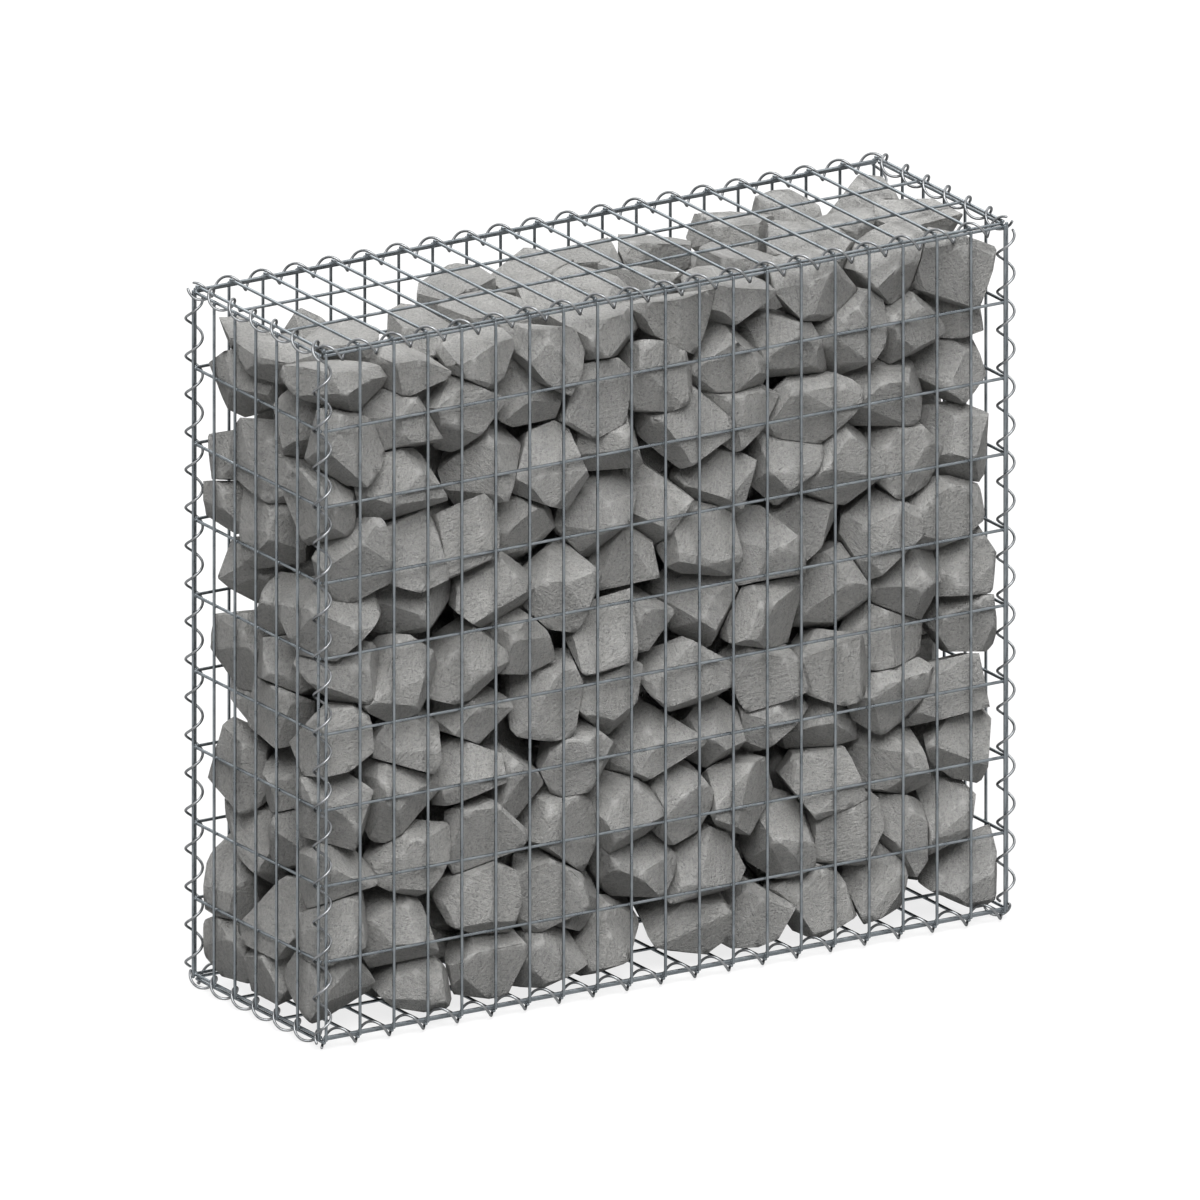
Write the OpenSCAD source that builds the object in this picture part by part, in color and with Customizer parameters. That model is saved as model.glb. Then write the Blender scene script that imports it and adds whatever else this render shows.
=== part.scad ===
// Gabion wall: one welded-mesh basket, laced along its edges with spiral wire and filled with stone.
// The origin is on the ground under the middle of the basket.
// X runs along the wall, Y from front to back, Z up. All sizes are in millimetres.

/* [Basket] */
// Length between the outermost upright wires of the front mesh
basket_length = 1000; // [500:50:2000]
// Depth between the outermost upright wires of an end mesh
basket_depth = 300; // [200:50:600]
// Height between the lowest and highest level wires of the front mesh
basket_height = 900; // [400:50:1200]

/* [Mesh] */
// Diameter of a mesh wire
mesh_wire = 4; // [3:0.1:5]
// Spacing of the close wires, which form the outer layer of each mesh
close_pitch = 50; // [40:1:70]
// Spacing of the wide wires, which form the inner layer of each mesh
wide_pitch = 100; // [80:5:150]
// How far crossing wires are pressed into each other at a weld
weld_sink = 0.4; // [0.2:0.1:0.8]
// Gap between the two edge wires that a spiral laces together
lacing_gap = 0.8; // [0.4:0.1:0.9]
// Room between the end of an inner wire and the mesh round the corner
inner_end_room = 0.2; // [0.1:0.1:0.5]
// Room between the end of an outer wire and the mesh round the corner
outer_end_room = 1; // [0.5:0.1:2]

/* [Spirals] */
// Outer diameter of a spiral
spiral_diameter = 25; // [22:0.5:32]
// Diameter of the spiral's wire
spiral_wire = 3.5; // [2.5:0.1:4]
// Gap between a spiral and the mesh wires that it hangs on
seat_gap = 0.4; // [0.3:0.1:0.8]
// How far a level spiral reaches past the corner at each end
level_reach = 5; // [-5:0.5:6]
// How far an upright spiral stops short of the corner at each end
upright_inset = 6; // [1:0.5:10]

/* [Stones] */
// Stones in the length of the wall, with one more in every other row
stones_along = 10; // [4:1:20]
// Stones in the depth of the wall
stones_deep = 3; // [2:1:5]
// Courses of stones in the height of the wall
courses = 11; // [4:1:14]
// Gap between a stone and the next
stone_gap = 0.6; // [0.4:0.1:0.9]
// Gap between the stones and the mesh
mesh_gap = 0.4; // [0.3:0.1:2]
// Gap between the stones and the spirals
spiral_gap = 0.6; // [0.3:0.1:2]
// How much lower the fill stands at the left end than at the right
fill_slope = 40; // [0:5:100]
// How far a stone may stand back from the mesh
stand_back = 12; // [0:2:50]
// Start of the bare spot under the lid, along the back, from the left end
bare_start = 90; // [0:10:2000]
// End of that bare spot
bare_end = 290; // [0:10:2000]
// Start of the random draws that shape the stones
stone_seed = 23; // [1:1:99]

/* [Hidden] */
wire_sides = 8;
flat_turn = 180 / wire_sides;
spiral_sides = 4;
steps_per_turn = 6;

// Layers and corners of the mesh
layer = mesh_wire - weld_sink;
edge_step = (mesh_wire + lacing_gap) / sqrt(2);
corner = layer + edge_step;
inner_stub = edge_step - mesh_wire / 2 - inner_end_room;
outer_stub = corner - mesh_wire / 2 - outer_end_room;
half_length = basket_length / 2;
half_depth = basket_depth / 2;
half_height = basket_height / 2;

// Counts of spaces between wires
function spaces(size, pitch) = max(1, round(size / pitch));
close_along = spaces(basket_length, close_pitch);
close_deep = spaces(basket_depth, close_pitch);
wide_deep = spaces(basket_depth, wide_pitch);
wide_up = spaces(basket_height, wide_pitch);
turns_up = wide_up * spaces(wide_pitch, close_pitch);

// Spirals: their radius, and how far their axes lie outside the wires of the basket
spiral_radius = (spiral_diameter - spiral_wire) / 2;
on_outer = corner / 2;
on_inner = edge_step / 2;
middle = half_height + on_outer + spiral_diameter / 2;

// Stones: the space they fill, and the shares of a stone's pitch by which they vary
fill_margin = edge_step - mesh_wire / 2 - mesh_gap;
fill_half = [half_length + fill_margin, half_depth + fill_margin, half_height + fill_margin];
stone_pitch = [2 * fill_half.x / stones_along, 2 * fill_half.y / stones_deep, 2 * fill_half.z / courses];
stone_reach = norm(stone_pitch) / 2;
place_jitter = [0.26, 0.2, 0.24];
joint_tilt = 0.36;
face_tilt = 0.4;
block_share = [0.9, 1.2];
block_turn = 45;
break_reach = [0.46, 0.6];
breaks = 5;

// Keys of the random draws: room for the rows of a course, the stones of a row and of a course,
// and the shapes of a stone, where the shapes start, and how a point becomes a key
key_rows = 10;
key_columns = 40;
key_stones = 100;
key_room = 20;
key_shapes = 20000;
key_point = [200, 1500, 15500];
mostly_up = [0.001, 0, 1];

MESHES = ["front_mesh", "back_mesh", "left_mesh", "right_mesh", "base_mesh", "lid_mesh"];
UPRIGHTS = ["front_left_spiral", "front_right_spiral", "back_left_spiral", "back_right_spiral"];
LONG_EDGES = ["front_lower_spiral", "front_upper_spiral", "back_lower_spiral", "back_upper_spiral"];
CROSS_EDGES = ["left_lower_spiral", "left_upper_spiral", "right_lower_spiral", "right_upper_spiral"];
SIDES = [-1, 1];
function course_name(course) = str("stone_course_", course + 1);
COURSES = [for (course = [0:courses - 1]) course_name(course)];

// A straight wire along Z, with flats towards X and Y
module wire(length) {
    rotate(flat_turn) cylinder(h = length, d = mesh_wire / cos(flat_turn), center = true, $fn = wire_sides);
}

// A flat mesh: close wires along Y on the outer layer at Z = 0, wide wires along X below them
module mesh(width, height, close_count, wide_count) {
    for (i = [0:close_count]) {
        translate([width * (i / close_count - 0.5), 0, 0])
            rotate([90, 0, 0]) wire(height + 2 * outer_stub);
    }
    for (i = [0:wide_count]) {
        translate([0, height * (i / wide_count - 0.5), -layer])
            rotate([0, 90, 0]) wire(width + 2 * inner_stub);
    }
}

// The front mesh turned to the front or, with a turn of 180, to the back
module long_mesh(turn) {
    color("lightslategray") translate([0, 0, middle]) rotate(turn) translate([0, -half_depth - corner, 0])
        rotate([90, 0, 0]) mesh(basket_length, basket_height, close_along, wide_up);
}

// An end mesh, to the left or, with a turn of 180, to the right
module end_mesh(turn) {
    color("lightslategray") translate([0, 0, middle]) rotate(turn) translate([-half_length - corner, 0, 0])
        rotate([90, 0, -90]) mesh(basket_depth, basket_height, close_deep, wide_up);
}

// The lid or, with a turn of 180, the base
module level_mesh(turn) {
    color("slategray") translate([0, 0, middle]) rotate([turn, 0, 0]) translate([0, 0, half_height + corner])
        mesh(basket_length, basket_depth, close_along, wide_deep);
}

// One ring of points round the spiral's wire
function ring(angle, height, climb) = [
    for (i = [0:spiral_sides - 1])
        let (
            around = 360 * i / spiral_sides,
            out = spiral_radius + spiral_wire / 2 * cos(around),
            side = spiral_wire / 2 * sin(around)
        )
        [
            out * cos(angle) - side * sin(climb) * sin(angle),
            out * sin(angle) + side * sin(climb) * cos(angle),
            height - side * cos(climb)
        ]
];

function climb_of(lead) = atan(lead / (2 * PI * spiral_radius));

// The angles of the rings, with one at every even step between the two ends
function ring_angles(first, last) = let (step = 360 / steps_per_turn) concat(
    [first],
    [for (i = [floor(first / step) + 1:ceil(last / step) - 1]) i * step],
    [last]
);

// A right-handed spiral along Z, centred, whose angle from X is start where it crosses the first wire.
// It reaches past the first and the last wire.
module spiral(length, turns, start, reach) {
    lead = length / turns;
    more = 360 * reach / lead;
    angles = ring_angles(start - more, start + 360 * turns + more);
    last = len(angles) - 1;
    points = [
        for (angle = angles)
            each ring(angle, lead * (angle - start) / 360 - length / 2, climb_of(lead))
    ];
    walls = [
        for (k = [0:last - 1], i = [0:spiral_sides - 1])
            let (a = k * spiral_sides + i, b = k * spiral_sides + (i + 1) % spiral_sides)
            each [[a, b, a + spiral_sides], [b, b + spiral_sides, a + spiral_sides]]
    ];
    bottom = [for (i = [spiral_sides - 1:-1:0]) i];
    top = [for (i = [0:spiral_sides - 1]) last * spiral_sides + i];
    color("silver") polyhedron(points, concat(walls, [bottom, top]));
}

// Turn between a spiral's angle at a wire that it rests on and the angle at which it passes that wire.
// The wire crosses the spiral at a distance aside from its axis.
function seat_turn(lead, aside) =
    let (
        climb = climb_of(lead),
        across = cos(climb) * cos(asin(aside / spiral_radius)),
        lean = across / sqrt(across * across + pow(sin(climb), 2)),
        apart = (mesh_wire + spiral_wire) / 2 + seat_gap
    )
    360 * apart / lean / lead;

// Upright spirals rest on the level wires of the end meshes at the front, and of the back mesh at the back
module upright_spiral(end, side) {
    lead = basket_height / turns_up;
    inward = side < 0 ? 90 : 90 + 90 * end;
    start = inward - end * seat_turn(lead, 0);
    translate([end * (half_length + on_outer), side * (half_depth + on_outer), middle])
        spiral(basket_height, turns_up, start, -upright_inset);
}

// Long spirals, along the front and the back, rest on the cross wires of the lid or the base
module long_spiral(side, level) {
    lead = basket_length / close_along;
    aside = corner - on_inner;
    inward = side > 0 ? 180 : 0;
    slope = asin(aside / spiral_radius) * level * -side;
    start = inward + slope - side * level * seat_turn(lead, aside);
    translate([0, side * (half_depth + on_inner), middle + level * (half_height + on_inner)])
        multmatrix([[0, 0, 1, 0], [1, 0, 0, 0], [0, 1, 0, 0]])
            spiral(basket_length, close_along, start, level_reach);
}

// Cross spirals, along the ends, rest on the upright wires of the end meshes
module cross_spiral(end, level) {
    lead = basket_depth / close_deep;
    aside = corner - on_inner;
    inward = level > 0 ? 180 : 0;
    slope = asin(aside / spiral_radius) * -level * end;
    start = inward + slope - end * level * seat_turn(lead, aside);
    translate([end * (half_length + on_inner), 0, middle + level * (half_height + on_outer)])
        multmatrix([[0, 1, 0, 0], [0, 0, 1, 0], [1, 0, 0, 0]])
            spiral(basket_depth, close_deep, start, level_reach);
}

function unit(v) = v / norm(v);
function between(range, draw) = range[0] + (range[1] - range[0]) * (draw + 1) / 2;
function drawn(key, count) = rands(-1, 1, count, stone_seed * 1000 + key);

// Places of the stones of one course, from the middle of the basket, apart from the bare spot
function row_count(course, row) = stones_along + (course + row) % 2;
function stone_place(course, row, column) =
    let (
        draws = drawn(column + key_columns * (row + key_rows * course), 3),
        count = row_count(course, row),
        share = [(column + 0.5) / count, (row + 0.5) / stones_deep, (course + 0.5) / courses]
    )
    [
        for (axis = [0:2])
            fill_half[axis] * (2 * share[axis] - 1) + stone_pitch[axis] * place_jitter[axis] * draws[axis]
    ];
function is_bare(course, row, place) =
    course == courses - 1 && row == stones_deep - 1
    && place.x > bare_start - half_length && place.x < bare_end - half_length;
function course_places(course) = [
    for (row = [0:stones_deep - 1], column = [0:row_count(course, row) - 1])
        let (place = stone_place(course, row, column))
        if (!is_bare(course, row, place)) place
];
PLACES = [for (course = [0:courses - 1]) course_places(course)];

// The plane that parts a stone from another, as a direction and a distance from the first stone's place.
// Both stones find the same draws, because those come from the point half way between their places.
function joint(here, there) =
    let (
        apart = there - here,
        pitches = [for (axis = [0:2]) (here + there)[axis] / stone_pitch[axis]],
        first = apart * mostly_up > 0 ? 1 : -1,
        tilt = joint_tilt * drawn(floor(pitches * key_point), 3),
        direction = unit(unit(apart) + first * tilt)
    )
    [direction, apart * direction / 2 - stone_gap / 2];
function joints(course, here) = [
    for (level = [max(0, course - 2):min(courses - 1, course + 2)], there = PLACES[level])
        if (there != here && norm(there - here) < 2 * stone_reach) joint(here, there)
];

// The planes that keep a stone inside the six meshes
function fill_top(place) = fill_half.z - fill_slope * (0.5 - place.x / basket_length);
function mesh_planes(place) = concat(
    [for (side = SIDES) [[side, 0, 0], fill_half.x - side * place.x]],
    [for (side = SIDES) [[0, side, 0], fill_half.y - side * place.y]],
    [[[0, 0, -1], fill_half.z + place.z], [[0, 0, 1], fill_top(place) - place.z]]
);

// A stone's own face towards a mesh, which leans and stands back from it
function leaning(plane, draws) = [
    unit(plane[0] + face_tilt * [draws[0], draws[1], draws[2]]),
    plane[1] - between([0, stand_back], draws[3])
];

// The planes that keep a stone clear of the spirals
function edge_planes(u, v, along_u, along_v, place) = [
    for (a = SIDES, b = SIDES)
        let (direction = (a * along_u + b * along_v) / sqrt(2))
        [direction, (u + v) / sqrt(2) - spiral_diameter / 2 - spiral_gap - direction * place]
];
function spiral_planes(place) =
    let (x = [1, 0, 0], y = [0, 1, 0], z = [0, 0, 1])
    concat(
        edge_planes(half_length + on_outer, half_depth + on_outer, x, y, place),
        edge_planes(half_depth + on_inner, half_height + on_inner, y, z, place),
        edge_planes(half_length + on_inner, half_height + on_outer, x, z, place)
    );

// The planes at which a stone broke from the rock
function break_plane(draws) = [
    unit([draws[0], draws[1], draws[2]]),
    between(break_reach, draws[3]) * min(stone_pitch)
];

// All that lies behind a plane, as far as a stone reaches
module behind(plane) {
    size = 4 * stone_reach;
    direction = plane[0];
    rotate([0, acos(direction.z), atan2(direction.y, direction.x)])
        translate([-size / 2, -size / 2, plane[1] - size]) cube(size);
}

module stone(course, place, key) {
    draws = drawn(key, 6);
    block = [for (axis = [0:2]) stone_pitch[axis] * between(block_share, draws[axis])];
    broken = [for (i = [1:breaks]) break_plane(drawn(key + i, 4))];
    limits = mesh_planes(place);
    fronts = [for (i = [0:len(limits) - 1]) leaning(limits[i], drawn(key + breaks + 1 + i, 4))];
    cuts = concat(joints(course, place), limits, fronts, spiral_planes(place), broken);
    planes = [for (plane = cuts) if (plane[1] < stone_reach) plane];
    translate(place + [0, 0, middle]) intersection() {
        rotate(block_turn * [draws[3], draws[4], draws[5]]) cube(block, center = true);
        intersection_for (plane = planes) behind(plane);
    }
}

module stone_course(course) {
    places = PLACES[course];
    color("darkgray") for (i = [0:len(places) - 1]) {
        stone(course, places[i], key_shapes + key_room * (key_stones * course + i));
    }
}

long_mesh(0);  // front_mesh
long_mesh(180);  // back_mesh
end_mesh(0);  // left_mesh
end_mesh(180);  // right_mesh
level_mesh(0);  // lid_mesh
level_mesh(180);  // base_mesh
for (end = [0, 1], side = [0, 1]) {
    upright_spiral(SIDES[end], SIDES[side]);
}
for (side = [0, 1], level = [0, 1]) {
    long_spiral(SIDES[side], SIDES[level]);
}
for (end = [0, 1], level = [0, 1]) {
    cross_spiral(SIDES[end], SIDES[level]);
}
for (course = [0:courses - 1]) {
    stone_course(course);
}
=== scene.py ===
import math
import random

import bmesh
import bpy
import numpy as np
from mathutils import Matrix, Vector, geometry, noise

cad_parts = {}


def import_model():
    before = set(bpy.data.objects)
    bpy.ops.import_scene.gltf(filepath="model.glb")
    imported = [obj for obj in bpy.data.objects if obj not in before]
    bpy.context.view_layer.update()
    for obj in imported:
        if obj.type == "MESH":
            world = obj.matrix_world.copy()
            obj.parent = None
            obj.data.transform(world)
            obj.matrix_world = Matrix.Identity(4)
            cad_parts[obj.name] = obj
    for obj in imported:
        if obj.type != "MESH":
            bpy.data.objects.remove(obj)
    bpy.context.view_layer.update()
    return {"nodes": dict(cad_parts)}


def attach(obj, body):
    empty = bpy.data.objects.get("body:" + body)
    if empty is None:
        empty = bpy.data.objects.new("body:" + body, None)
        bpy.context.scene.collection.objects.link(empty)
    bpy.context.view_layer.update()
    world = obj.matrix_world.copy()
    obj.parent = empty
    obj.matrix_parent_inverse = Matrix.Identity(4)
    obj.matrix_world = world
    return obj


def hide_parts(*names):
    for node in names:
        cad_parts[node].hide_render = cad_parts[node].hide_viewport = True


# Gabion wall: worn stones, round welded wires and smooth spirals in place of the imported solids.
# X runs along the wall, Y from front to back, Z up. All sizes are in metres.

BODY = "root"

# The basket between its edge wires, and its wires
LENGTH, DEPTH, HEIGHT = 1.0, 0.3, 0.9
CLOSE_PITCH = 0.05
WIDE_PITCH = 0.1
MESH_WIRE = 0.004
WELD_SINK = 0.0004
LACING_GAP = 0.0008
INNER_END_ROOM = 0.0002
OUTER_END_ROOM = 0.001

# The round wires, with a second ring behind the chamfer of each end, and the beads of their welds
WIRE_SIDES = 16
END_CHAMFER = 0.0006
END_RING = 3 * END_CHAMFER
WELD_WIDTH = 0.0054
WELD_HEIGHT = 0.0026
WELD_CUT = 0.92
WELD_RINGS = 5
WELD_SIDES = 10

# The spirals
SPIRAL_DIAMETER = 0.025
SPIRAL_WIRE = 0.0035
LEVEL_REACH = 0.005
UPRIGHT_INSET = 0.006
SPIRAL_SIDES = 10
STEPS_PER_TURN = 28

# The stones: the grid on their faces, the rounding of their edges and the roughness of their faces
FACE_GRID = 0.009
GRID_JITTER = 0.2
EDGE_RINGS = (0.0004, 0.0013)
EDGE_ROUNDING = (0.0001, 0.00032)
ROUNDING_SCALE = 45
PROJECT_STEPS = 4
SWELL_DEPTH, SWELL_SCALE = 0.0008, 26
CHIP_DEPTH, CHIP_SCALE = 0.0006, 95
STONE_SHIFT = 5.0

# How near counts as the same point, as on an edge and as one face
SAME_POINT = 1e-5
ON_EDGE = 1e-6
TRIANGLE_LIMIT = 1e-7
FLAT_ANGLE = math.radians(0.5)

# How many times a metre the tones of the stones, the zinc and the floor repeat
CLOUD_SCALE = 24
MOTTLE_SCALE = 260
SPECK_SCALE = 580
STREAK_SCALE = (55, 55, 340)
ZINC_PATCH_SCALE = 55
ZINC_SPECK_SCALE = 900
FLOOR_SCALE = 3

# The zinc's shade along the outline of a wire
EDGE_TINT = (0.35, 0.35, 0.35, 1)

# The view: a parallel one, from the front and left
CAMERA_AZIMUTH, CAMERA_ELEVATION = math.radians(-31.58), math.radians(18.06)
CAMERA_SCALE = 1.506
CAMERA_DISTANCE = 5.0

# The level of the light from all round, and the floor's reach and glow
WORLD_LEVEL = 0.08
FLOOR_HALF = 15.0
FLOOR_GLOW = 0.8

# Derived places of the wires and spirals
LAYER = MESH_WIRE - WELD_SINK
EDGE_STEP = (MESH_WIRE + LACING_GAP) / math.sqrt(2)
CORNER = LAYER + EDGE_STEP
INNER_STUB = EDGE_STEP - MESH_WIRE / 2 - INNER_END_ROOM
OUTER_STUB = CORNER - MESH_WIRE / 2 - OUTER_END_ROOM
ON_OUTER, ON_INNER = CORNER / 2, EDGE_STEP / 2
MIDDLE = HEIGHT / 2 + ON_OUTER + SPIRAL_DIAMETER / 2
SPIRAL_RADIUS = (SPIRAL_DIAMETER - SPIRAL_WIRE) / 2

X, Y, Z = np.eye(3)


# Meshes

class Shape:
    """Vertices and faces of one piece, gathered part by part."""

    def __init__(self):
        self.points = []
        self.faces = []
        self.count = 0

    def add(self, points, faces):
        self.points.append(points)
        self.faces.extend([[i + self.count for i in face] for face in faces])
        self.count += len(points)

    def make(self, name, material):
        mesh = bpy.data.meshes.new(name)
        mesh.from_pydata(np.concatenate(self.points), [], self.faces)
        mesh.shade_smooth()
        mesh.materials.append(material)
        piece = bpy.data.objects.new(name, mesh)
        bpy.context.scene.collection.objects.link(piece)
        return piece


def show(piece, node):
    """The piece stands for a CAD node: it joins the body, and the node is hidden."""
    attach(piece, BODY)
    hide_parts(node)


def unit_rows(rows):
    """Each row as a vector of length one."""
    return rows / np.linalg.norm(rows, axis=1, keepdims=True)


def tube(line, outward, radii, sides):
    """Rings of points round a line, with quads between them and both ends closed."""
    ahead = unit_rows(np.gradient(line, axis=0))
    across = unit_rows(np.cross(ahead, outward))
    outward = np.cross(across, ahead)
    turn = 2 * math.pi * np.arange(sides) / sides
    cosine, sine = np.cos(turn)[None, :, None], np.sin(turn)[None, :, None]
    spokes = cosine * outward[:, None] + sine * across[:, None]
    points = line[:, None] + radii[:, None, None] * spokes
    last = len(line) - 1
    faces = [list(range(sides)), list(range((last + 1) * sides - 1, last * sides - 1, -1))]
    for k in range(last):
        for i in range(sides):
            a, b = k * sides + i, k * sides + (i + 1) % sides
            faces.append([a, a + sides, b + sides, b])
    return points.reshape(-1, 3), faces


def rod(start, end, outward):
    """A straight round wire with chamfered ends."""
    length = np.linalg.norm(end - start)
    rings = np.array([0, END_CHAMFER, END_RING])
    along = np.concatenate([rings, length - rings[::-1]])
    line = start + (end - start) * (along / length)[:, None]
    radii = np.full(len(line), MESH_WIRE / 2)
    radii[[0, -1]] -= END_CHAMFER
    return tube(line, np.tile(outward, (len(line), 1)), radii, WIRE_SIDES)


def weld(centre, outward, sideways):
    """The bead of a weld between two crossing wires, round with both ends cut off."""
    rise = np.linspace(-WELD_CUT, WELD_CUT, WELD_RINGS)
    line = centre + np.outer(rise * WELD_HEIGHT / 2, outward)
    radii = WELD_WIDTH / 2 * np.sqrt(1 - rise ** 2)
    return tube(line, np.tile(sideways, (WELD_RINGS, 1)), radii, WELD_SIDES)


def welded_mesh(node, centre, across, up, outward, width, height, material):
    """Close wires run along up on the outer layer, wide wires along across on the layer inside it."""
    shape = Shape()
    close = np.linspace(-width / 2, width / 2, round(width / CLOSE_PITCH) + 1)
    wide = np.linspace(-height / 2, height / 2, round(height / WIDE_PITCH) + 1)
    close_reach = (height / 2 + OUTER_STUB) * up
    wide_reach = (width / 2 + INNER_STUB) * across
    for along in close:
        place = centre + along * across
        shape.add(*rod(place - close_reach, place + close_reach, outward))
    for along in wide:
        place = centre + along * up - LAYER * outward
        shape.add(*rod(place - wide_reach, place + wide_reach, outward))
    for a in close:
        for b in wide:
            shape.add(*weld(centre + a * across + b * up - LAYER / 2 * outward, outward, across))
    show(shape.make(node + "_wires", material), node)


def spiral(node, axis, first, second, centre, reach, material):
    """A right-handed spiral with one turn to each close wire, as long both ways from its centre.

    Its turn is read from the CAD node, so that both pass the same wires.
    """
    corners = np.array([v.co for v in frame["nodes"][node].data.vertices]) - centre
    turns = np.arctan2(corners @ second, corners @ first) - 2 * math.pi * (corners @ axis) / CLOSE_PITCH
    start = math.atan2(np.sin(turns).mean(), np.cos(turns).mean())
    steps = round(2 * reach / CLOSE_PITCH * STEPS_PER_TURN)
    ends = np.array([0, END_CHAMFER])
    between = np.linspace(-reach, reach, steps + 1)[1:-1]
    along = np.concatenate([-reach + ends, between, reach - ends[::-1]])
    angle = start + 2 * math.pi * along / CLOSE_PITCH
    outward = np.outer(np.cos(angle), first) + np.outer(np.sin(angle), second)
    line = centre + np.outer(along, axis) + SPIRAL_RADIUS * outward
    radii = np.full(len(line), SPIRAL_WIRE / 2)
    radii[[0, -1]] -= END_CHAMFER
    shape = Shape()
    shape.add(*tube(line, outward, radii, SPIRAL_SIDES))
    show(shape.make(node + "_wire", material), node)


# Stones

def islands(bm):
    """The separate solids of a mesh, as lists of faces."""
    left = set(bm.faces)
    found = []
    for face in bm.faces:
        if face not in left:
            continue
        left.discard(face)
        group = [face]
        for here in group:
            for edge in here.edges:
                for other in edge.link_faces:
                    if other in left:
                        left.discard(other)
                        group.append(other)
        found.append(group)
    return found


def edge_points(a, b):
    """Points along an edge, the same ones from both of its faces, without the end b."""
    first, second = (a, b) if tuple(a) < tuple(b) else (b, a)
    parts = max(1, round((b - a).length / FACE_GRID))
    points = [first.lerp(second, i / parts) for i in range(parts + 1)]
    if first is b:
        points.reverse()
    return points[:-1]


def face_grid(corners, normal, draw):
    """Points over a flat face, close together along its edges, and the triangles between them."""
    across = (corners[1] - corners[0]).normalized()
    up = normal.cross(across)
    origin = corners[0]
    rim = []
    for a, b in zip(corners, corners[1:] + corners[:1]):
        rim.extend(edge_points(a, b))
    flat = np.array([((p - origin).dot(across), (p - origin).dot(up)) for p in corners])
    along = np.roll(flat, -1, axis=0) - flat
    inward = unit_rows(np.stack([-along[:, 1], along[:, 0]], axis=1))
    level = (flat * inward).sum(1)
    rim_flat = np.array([((p - origin).dot(across), (p - origin).dot(up)) for p in rim])

    inner = []
    for ring in EDGE_RINGS:
        for direction, start in zip(inward, level):
            near = np.abs(rim_flat @ direction - start) < ON_EDGE
            inner.append((rim_flat[near] + ring * direction, ring))
    low, high = flat.min(0), flat.max(0)
    cells = np.ceil((high - low) / FACE_GRID).astype(int) + 1
    spots = [(i + 0.5 * (j % 2), j) for i in range(cells[0]) for j in range(cells[1])]
    grid = np.array(spots) * FACE_GRID
    grid += [[draw.uniform(-GRID_JITTER, GRID_JITTER) * FACE_GRID for _ in range(2)] for _ in grid]
    inner.append((low + grid, EDGE_RINGS[-1] + FACE_GRID / 2))
    inside = [points[((points @ inward.T - level) >= ring - ON_EDGE).all(1)] for points, ring in inner]
    points = np.concatenate([rim_flat, *inside])

    outline = [list(range(len(rim)))]
    made = geometry.delaunay_2d_cdt([Vector(p) for p in points], [], outline, 1, TRIANGLE_LIMIT)
    solid = [tuple(p) for p in rim]
    solid += [tuple(origin + x * across + y * up) for x, y in points[len(rim):].tolist()]
    sources = [source[0] for source in made[3]]
    return solid, [[sources[i] for i in face] for face in made[2]]


def rounded(points, normals, levels, rounding):
    """Points moved onto a smooth surface inside the planes, its normals, and how near an edge each is."""
    for _ in range(PROJECT_STEPS):
        depth = (points @ normals.T - levels) / rounding[:, None]
        top = depth.max(1, keepdims=True)
        weight = np.exp(depth - top)
        total = weight.sum(1, keepdims=True)
        over = rounding * (top + np.log(total))[:, 0]
        slope = weight @ normals / total
        points = points - slope * (over / (slope ** 2).sum(1))[:, None]
    return points, unit_rows(slope), 1 - 1 / total[:, 0]


def noise_at(points, scale, octaves):
    """Smooth noise around nought at each point."""
    return np.array([noise.fractal(Vector(p) * scale, 1.0, 2.0, octaves) for p in points])


def stone(faces, draw):
    """One stone from its flat CAD faces: rounded along its edges and slightly rough all over."""
    index = {}
    points, triangles = [], []
    for face in faces:
        grid, parts = face_grid([v.co.copy() for v in face.verts], face.normal, draw)
        place = []
        for p in grid:
            if p not in index:
                index[p] = len(points)
                points.append(p)
            place.append(index[p])
        triangles.extend([[place[i] for i in part] for part in parts])
    points = np.array(points)
    normals = np.array([face.normal for face in faces])
    levels = np.array([face.normal.dot(face.verts[0].co) for face in faces])
    shift = np.array([draw.uniform(-STONE_SHIFT, STONE_SHIFT) for _ in range(3)])
    low, high = EDGE_ROUNDING
    blend = np.clip(0.5 + noise_at(points + shift, ROUNDING_SCALE, 2), 0, 1)
    points, slope, edge = rounded(points, normals, levels, low + (high - low) * blend)
    sink = SWELL_DEPTH * np.clip(0.5 + 0.5 * noise_at(points + shift, SWELL_SCALE, 3), 0, 1)
    sink += CHIP_DEPTH * np.clip(0.5 + 0.5 * noise_at(points + shift, CHIP_SCALE, 3), 0, 1)
    return points - slope * sink[:, None], triangles, edge, shift


def stone_course(node, material, seed):
    """All the stones of one CAD course as one piece, with numbers for the material at each point."""
    draw = random.Random(seed)
    bm = bmesh.new()
    bm.from_mesh(frame["nodes"][node].data)
    bmesh.ops.remove_doubles(bm, verts=bm.verts, dist=SAME_POINT)
    bmesh.ops.dissolve_limit(bm, angle_limit=FLAT_ANGLE, verts=bm.verts, edges=bm.edges)
    bm.normal_update()
    shape = Shape()
    edges, shifts, tints = [], [], []
    for faces in islands(bm):
        points, triangles, edge, shift = stone(faces, draw)
        shape.add(points, triangles)
        edges.append(edge)
        shifts.append(np.tile(shift, (len(points), 1)))
        tints.append(np.full(len(points), draw.uniform(0, 1)))
    bm.free()
    piece = shape.make(node + "_stones", material)
    for name, kind, values in (
        ("stone_edge", "FLOAT", edges),
        ("stone_tint", "FLOAT", tints),
        ("stone_shift", "FLOAT_VECTOR", shifts),
    ):
        attribute = piece.data.attributes.new(name, kind, "POINT")
        field = "vector" if kind == "FLOAT_VECTOR" else "value"
        attribute.data.foreach_set(field, np.concatenate(values).astype(np.float32).ravel())
    show(piece, node)


# Materials

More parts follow.
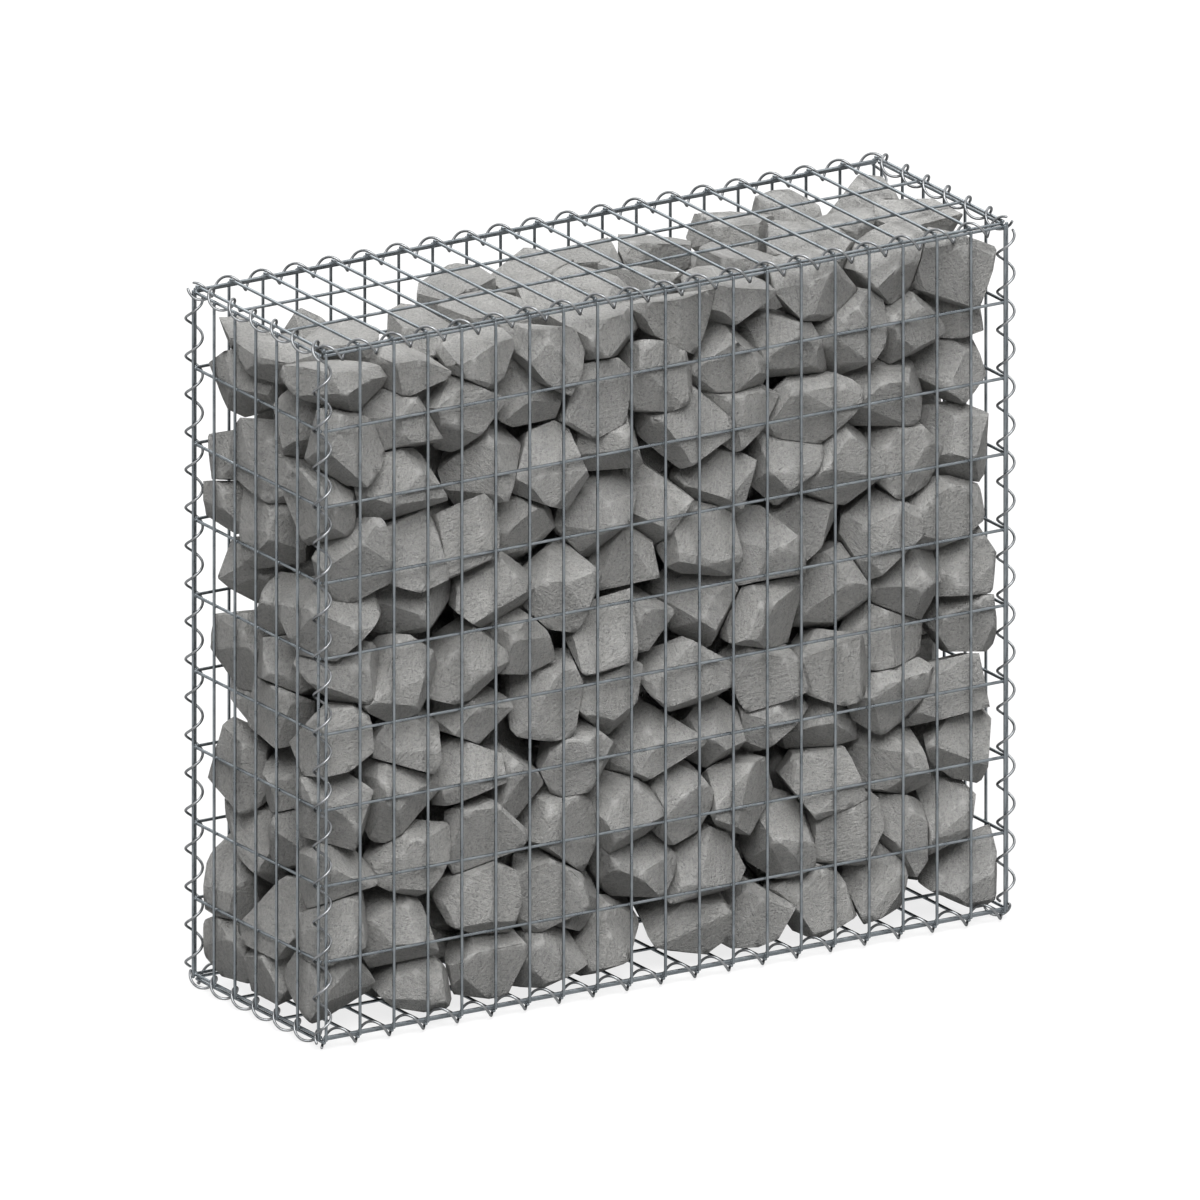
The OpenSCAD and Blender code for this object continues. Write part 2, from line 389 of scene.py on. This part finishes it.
class Nodes:
    """A material's node tree, with a short way to add and join nodes."""

    def __init__(self, name):
        self.material = bpy.data.materials.new(name)
        self.material.use_nodes = True
        self.tree = self.material.node_tree
        self.shader = self.tree.nodes["Principled BSDF"]

    def add(self, kind, inputs, **settings):
        made = self.tree.nodes.new("ShaderNode" + kind)
        for key, value in settings.items():
            setattr(made, key, value)
        for key, value in inputs.items():
            self.set(made.inputs[key], value)
        return made

    def set(self, socket, value):
        if isinstance(value, bpy.types.NodeSocket):
            self.tree.links.new(value, socket)
        else:
            socket.default_value = value

    def finish(self, **inputs):
        for key, value in inputs.items():
            self.set(self.shader.inputs[key.replace("_", " ")], value)
        return self.material

    def noise(self, place, scale, detail, roughness):
        made = self.add("TexNoise", {
            "Vector": place, "Scale": scale, "Detail": detail, "Roughness": roughness,
        })
        return made.outputs["Fac"]

    def spread(self, value, low, high, to_low=0.0, to_high=1.0):
        made = self.add("MapRange", {
            "Value": value, "From Min": low, "From Max": high, "To Min": to_low, "To Max": to_high,
        })
        return made.outputs["Result"]

    def mix(self, share, a, b):
        made = self.add("Mix", {}, data_type="RGBA")
        self.set(made.inputs[0], share)
        self.set(made.inputs[6], a)
        self.set(made.inputs[7], b)
        return made.outputs[2]

    def tone(self, colour, value, low, high, share, shade):
        """A colour with up to a share of a shade over it, as a value goes from low to high."""
        return self.mix(self.spread(value, low, high, 0, share), colour, shade)

    def bump(self, height, strength, distance, normal=None):
        inputs = {"Height": height, "Strength": strength, "Distance": distance}
        if normal is not None:
            inputs["Normal"] = normal
        return self.add("Bump", inputs).outputs["Normal"]


def grey(level, warmth=0.0):
    """A grey, with a share more red and less blue where it is warm."""
    return (level * (1 + warmth), level * (1 + warmth / 2), level * (1 - warmth), 1.0)


def stone_material():
    """Broken grey stone: clouds, mottling, streaks and specks that lie another way on each stone, and
    lighter edges that are a painted highlight, partly also wear.
    """
    nodes = Nodes("broken_stone")
    place = nodes.add("TexCoord", {}).outputs["Object"]
    shift = nodes.add("Attribute", {}, attribute_name="stone_shift").outputs["Vector"]
    tint = nodes.add("Attribute", {}, attribute_name="stone_tint").outputs["Fac"]
    edge = nodes.add("Attribute", {}, attribute_name="stone_edge").outputs["Fac"]
    moved = nodes.add("VectorMath", {0: place, 1: shift}, operation="ADD").outputs["Vector"]
    turned = nodes.add(
        "VectorRotate", {"Vector": moved, "Rotation": shift}, rotation_type="EULER_XYZ"
    ).outputs["Vector"]
    layered = nodes.add("Mapping", {"Vector": turned, "Scale": STREAK_SCALE}).outputs["Vector"]
    cloud = nodes.noise(turned, CLOUD_SCALE, 4, 0.55)
    mottle = nodes.noise(turned, MOTTLE_SCALE, 4, 0.65)
    speck = nodes.noise(turned, SPECK_SCALE, 2, 0.6)
    streak = nodes.noise(layered, 1.0, 4, 0.6)

    colour = nodes.mix(tint, grey(0.41, 0.015), grey(0.48, 0.02))
    colour = nodes.tone(colour, cloud, 0.3, 0.7, 0.5, grey(0.46, 0.03))
    colour = nodes.tone(colour, mottle, 0.47, 0.66, 0.45, grey(0.24))
    colour = nodes.tone(colour, mottle, 0.44, 0.28, 0.4, grey(0.6, 0.02))
    colour = nodes.tone(colour, streak, 0.52, 0.7, 0.42, grey(0.26))
    colour = nodes.tone(colour, speck, 0.55, 0.7, 0.6, grey(0.18))
    # Lighter along every edge: a painted highlight on the rims, partly also edge wear
    colour = nodes.tone(colour, edge, 0.1, 0.5, 0.5, grey(0.6, 0.015))
    normal = nodes.bump(streak, 0.8, 0.003)
    normal = nodes.bump(mottle, 0.9, 0.0038, normal)
    normal = nodes.bump(speck, 0.9, 0.0018, normal)
    rough = nodes.spread(mottle, 0.3, 0.7, 0.82, 0.96)
    return nodes.finish(Base_Color=colour, Roughness=rough, Specular_IOR_Level=0.3, Normal=normal)


def wire_material(name, dull, bright, metallic, smooth, rough):
    """A zinc coat: soft patches of two greys and two degrees of gloss, with fine raised specks."""
    nodes = Nodes(name)
    place = nodes.add("TexCoord", {}).outputs["Object"]
    patch = nodes.noise(place, ZINC_PATCH_SCALE, 4, 0.6)
    speck = nodes.noise(place, ZINC_SPECK_SCALE, 3, 0.6)
    colour = nodes.mix(nodes.spread(patch, 0.35, 0.65), dull, bright)
    colour = nodes.tone(colour, speck, 0.5, 0.8, 0.35, dull)
    gloss = nodes.spread(patch, 0.3, 0.7, smooth, rough)
    normal = nodes.bump(speck, 0.12, 0.0002)
    return nodes.finish(
        Base_Color=colour, Metallic=metallic, Roughness=gloss, Specular_Tint=EDGE_TINT, Normal=normal,
    )


# Floor, light and camera

def seen_directly(tree):
    """One for the camera's own rays and for those by which it sees a reflection, else nought."""
    path = tree.nodes.new("ShaderNodeLightPath")
    seen = path.outputs["Is Camera Ray"]
    for kind in ("Is Glossy Ray", "Is Transmission Ray"):
        either = tree.nodes.new("ShaderNodeMath")
        either.operation = "MAXIMUM"
        tree.links.new(seen, either.inputs[0])
        tree.links.new(path.outputs[kind], either.inputs[1])
        seen = either.outputs[0]
    return seen


def floor():
    """A wide pale floor that shows white, with the object's shadow on it."""
    nodes = Nodes("floor")
    place = nodes.add("TexCoord", {}).outputs["Object"]
    colour = nodes.mix(nodes.noise(place, FLOOR_SCALE, 2, 0.5), grey(0.2), grey(0.22))
    glow = nodes.spread(seen_directly(nodes.tree), 0, 1, 0, FLOOR_GLOW)
    material = nodes.finish(
        Base_Color=colour, Roughness=1.0, Specular_IOR_Level=0.0,
        Emission_Color=(1, 1, 1, 1), Emission_Strength=glow,
    )
    corners = FLOOR_HALF * np.array([-X - Y, X - Y, X + Y, Y - X])
    shape = Shape()
    shape.add(corners, [[0, 1, 2, 3]])
    shape.make("floor", material)


def world():
    """A white background that lights the object faintly from all round."""
    made = bpy.data.worlds.new("studio")
    made.use_nodes = True
    bpy.context.scene.world = made
    tree = made.node_tree
    level = tree.nodes.new("ShaderNodeMapRange")
    level.inputs["To Min"].default_value = WORLD_LEVEL
    level.inputs["To Max"].default_value = 1.0
    tree.links.new(seen_directly(tree), level.inputs["Value"])
    back = tree.nodes["Background"]
    back.inputs["Color"].default_value = (1, 1, 1, 1)
    tree.links.new(level.outputs["Result"], back.inputs["Strength"])


def lamp(name, place, softness, level):
    """A sun that shines from a place to the basket's middle: its width in degrees, and its level.

    At a level of one, it alone shows a white face turned to it as white.
    """
    light = bpy.data.lights.new(name, "SUN")
    light.angle = math.radians(softness)
    light.energy = math.pi * level
    made = bpy.data.objects.new(name, light)
    made.location = place
    made.rotation_euler = (Vector((0, 0, MIDDLE)) - Vector(place)).to_track_quat("-Z", "Y").to_euler()
    bpy.context.scene.collection.objects.link(made)


def camera():
    """A camera for a parallel view of the basket's middle."""
    data = bpy.data.cameras.new("camera")
    data.type = "ORTHO"
    data.ortho_scale = CAMERA_SCALE
    made = bpy.data.objects.new("camera", data)
    back = Vector((
        math.sin(CAMERA_AZIMUTH) * math.cos(CAMERA_ELEVATION),
        -math.cos(CAMERA_AZIMUTH) * math.cos(CAMERA_ELEVATION),
        math.sin(CAMERA_ELEVATION),
    ))
    made.location = Vector((0, 0, MIDDLE)) + CAMERA_DISTANCE * back
    made.rotation_euler = (-back).to_track_quat("-Z", "Y").to_euler()
    bpy.context.scene.collection.objects.link(made)
    bpy.context.scene.camera = made


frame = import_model()
bpy.context.scene.view_settings.view_transform = "Standard"

centre = MIDDLE * Z
mesh_wire = wire_material(
    "mesh_wire", dull=(0.15, 0.167, 0.18, 1), bright=(0.235, 0.256, 0.271, 1),
    metallic=0.88, smooth=0.24, rough=0.36,
)
spiral_wire = wire_material(
    "spiral_wire", dull=(0.15, 0.156, 0.162, 1), bright=(0.26, 0.267, 0.274, 1),
    metallic=0.95, smooth=0.26, rough=0.38,
)
broken_stone = stone_material()

for node, side in (("front_mesh", -Y), ("back_mesh", Y)):
    welded_mesh(node, centre + (DEPTH / 2 + CORNER) * side, X, Z, side, LENGTH, HEIGHT, mesh_wire)
for node, side in (("left_mesh", -X), ("right_mesh", X)):
    welded_mesh(node, centre + (LENGTH / 2 + CORNER) * side, Y, Z, side, DEPTH, HEIGHT, mesh_wire)
for node, side in (("base_mesh", -Z), ("lid_mesh", Z)):
    welded_mesh(node, centre + (HEIGHT / 2 + CORNER) * side, X, Y, side, LENGTH, DEPTH, mesh_wire)

for end_name, end in (("left", -X), ("right", X)):
    for side_name, side in (("front", -Y), ("back", Y)):
        place = centre + (LENGTH / 2 + ON_OUTER) * end + (DEPTH / 2 + ON_OUTER) * side
        spiral(f"{side_name}_{end_name}_spiral", Z, X, Y, place, HEIGHT / 2 - UPRIGHT_INSET, spiral_wire)
for level_name, level in (("lower", -Z), ("upper", Z)):
    for side_name, side in (("front", -Y), ("back", Y)):
        place = centre + (DEPTH / 2 + ON_INNER) * side + (HEIGHT / 2 + ON_INNER) * level
        spiral(f"{side_name}_{level_name}_spiral", X, Y, Z, place, LENGTH / 2 + LEVEL_REACH, spiral_wire)
    for end_name, end in (("left", -X), ("right", X)):
        place = centre + (LENGTH / 2 + ON_INNER) * end + (HEIGHT / 2 + ON_OUTER) * level
        spiral(f"{end_name}_{level_name}_spiral", Y, Z, X, place, DEPTH / 2 + LEVEL_REACH, spiral_wire)

courses = [node for node in frame["nodes"] if node.startswith("stone_course_")]
courses.sort(key=lambda node: int(node.split("_")[-1]))
for number, node in enumerate(courses):
    stone_course(node, broken_stone, number)

floor()
world()
lamp("key", (-1.3, -2.1, 3.95), 48, 1.2)
lamp("side", (3.0, 1.0, 1.4), 60, 0.2)
lamp("top", (2.0, -0.28, 3.9), 26, 0.18)
lamp("back", (0.4, 3.1, 2.95), 38, 0.5)
camera()
